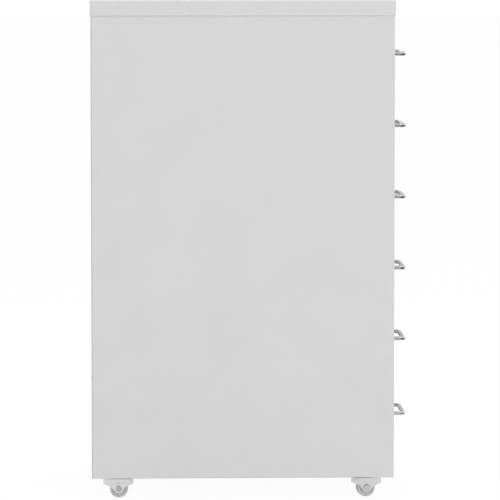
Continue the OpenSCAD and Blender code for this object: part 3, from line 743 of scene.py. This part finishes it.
def white_room(level):
    """Even light from all round, at this level, which shows as plain white."""
    world = bpy.data.worlds.new("white_room")
    bpy.context.scene.world = world
    tree = empty_tree(world)
    strength = add_node(tree, "ShaderNodeMapRange", inputs={
        "Value": seen_rays(tree), "To Min": level, "To Max": 1})
    room = add_node(tree, "ShaderNodeBackground", inputs={
        "Color": linear("#ffffff"), "Strength": strength.outputs["Result"]})
    add_node(tree, "ShaderNodeOutputWorld", inputs={"Surface": room.outputs["Background"]})


def flat_card(name, centre, size, material, facing=UP):
    """A plain rectangle of the studio, facing one way."""
    mesh, place = bmesh.new(), Matrix.Translation(centre) @ aimed(facing, "Z", "Y")
    mesh.faces.new([mesh.verts.new(place @ Vector((x * size[0] / 2, y * size[1] / 2, 0))) for x, y in SQUARE])
    card = mesh_object(name, mesh)
    card.data.materials.append(material)
    card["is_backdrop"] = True
    return card


def floor_paper(shade):
    """White paper. What the camera sees of it is mostly its own white, with shade as the share of the light that falls
    on it, so that the cabinet's shadow stays soft."""
    material = bpy.data.materials.new("floor_paper")
    tree = empty_tree(material)
    paper = add_node(tree, "ShaderNodeBsdfDiffuse", inputs={"Color": linear("#f7f7f7")})
    white = add_node(tree, "ShaderNodeEmission", inputs={"Color": linear("#ffffff"), "Strength": 1})
    share = add_node(tree, "ShaderNodeMath", {"operation": "MULTIPLY"}, {0: seen_rays(tree), 1: 1 - shade})
    both = add_node(tree, "ShaderNodeMixShader", inputs={
        0: share.outputs["Value"], 1: paper.outputs["BSDF"], 2: white.outputs["Emission"]})
    add_node(tree, "ShaderNodeOutputMaterial", inputs={"Surface": both.outputs["Shader"]})
    return material


def studio_cloth(name, shade):
    """Dull cloth of one colour, which is seen from its face and not from behind."""
    material = bpy.data.materials.new(name)
    tree = empty_tree(material)
    cloth = add_node(tree, "ShaderNodeBsdfDiffuse", inputs={"Color": linear(shade)})
    clear = add_node(tree, "ShaderNodeBsdfTransparent")
    side = add_node(tree, "ShaderNodeNewGeometry")
    both = add_node(tree, "ShaderNodeMixShader", inputs={
        0: side.outputs["Backfacing"], 1: cloth.outputs["BSDF"], 2: clear.outputs["BSDF"]})
    add_node(tree, "ShaderNodeOutputMaterial", inputs={"Surface": both.outputs["Shader"]})
    return material


def softbox(name, centre, target, size, power):
    """A square lamp of this many metres and watts that points at a target."""
    data = bpy.data.lights.new(name, "AREA")
    data.shape, data.size, data.energy = "SQUARE", size, power
    lamp = add_object(name, data)
    lamp.location = centre
    lamp.rotation_euler = (Vector(target) - Vector(centre)).to_track_quat("-Z", "Y").to_euler()
    return lamp


def studio():
    """A white room with a paper floor, five lamps, and the cloths that the chromed bars mirror."""
    white_room(0.7)
    flat_card("studio_floor", (0, 0, 0), (60, 60), floor_paper(0.04))
    black, grey = studio_cloth("black_cloth", "#202020"), studio_cloth("grey_cloth", "#8c8c8c")
    pale = studio_cloth("pale_cloth", "#d2d2d2")
    # Dark cloths lie round the cabinet, just above its casters, and one stands in front on the left. Only what is
    # polished shows them, as the dark lines along the lower half of the chromed bars and the dark of their bends.
    # The pale one on the right tones down the grips, which mirror that side at a grazing angle.
    low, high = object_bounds()
    gap, reach, level = 0.12, 3.0, 0.045
    width, depth = high[0] - low[0], high[1] - low[1]
    long_side = depth + 2 * gap + 2 * reach
    for name, centre, size, cloth, facing in (
            ("cloth_left", (low[0] - gap - reach / 2, 0, level), (reach, long_side), grey, UP),
            ("cloth_right", (high[0] + gap + reach / 2, 0, level), (reach, long_side), grey, UP),
            ("cloth_front", (0, low[1] - gap - reach / 2, level), (width + 2 * gap, reach), black, UP),
            ("cloth_back", (0, high[1] + gap + reach / 2, level), (width + 2 * gap, reach), black, UP),
            ("flag_front_left", (-2.3, -2.5, 0.55), (3.2, 1.0), black, (0.68, 0.73, 0)),
            ("flag_right", (3.0, -0.2, 0.36), (1.4, 0.72), pale, (-1, 0, 0))):
        card = flat_card(name, centre, size, cloth, facing)
        card.visible_camera = card.visible_diffuse = card.visible_shadow = False
    # A lamp that showed in the chromed bars would draw a white line along them.
    softbox("top_softbox", (-0.2, -0.2, 2.9), (0, 0, 0.3), 2.2, 24).visible_glossy = False
    softbox("left_softbox", (-2.8, -2.1, 1.7), (0, 0, 0.35), 1.8, 16)
    softbox("low_softbox", (-3.2, 0.1, 0.4), (0, 0, 0.2), 0.7, 8).visible_glossy = False
    softbox("front_softbox", (1.4, -3.2, 1.6), (0, 0, 0.35), 1.8, 8)
    softbox("rear_softbox", (-0.5, 3.2, 1.4), (0, 0, 0.35), 1.8, 8)


def side_camera():
    """A long lens towards the left side, from a little above and behind the middle of the panel."""
    data = bpy.data.cameras.new("side_camera")
    data.lens, data.sensor_width = 276.48, 36
    data.clip_start, data.clip_end = 0.1, 200
    camera = add_object("side_camera", data)
    camera.location = (-5.40652, 0.18412, 0.78332)
    # It looks along +X, turned a little to the front and down, in radians.
    yaw, pitch = -0.03474, 0.08264
    ahead = Vector((math.cos(yaw) * math.cos(pitch), math.sin(yaw) * math.cos(pitch), -math.sin(pitch)))
    camera.rotation_euler = ahead.to_track_quat("-Z", "Y").to_euler()
    bpy.context.scene.camera = camera


studio()
side_camera()
bpy.context.scene.view_settings.view_transform = "Standard"
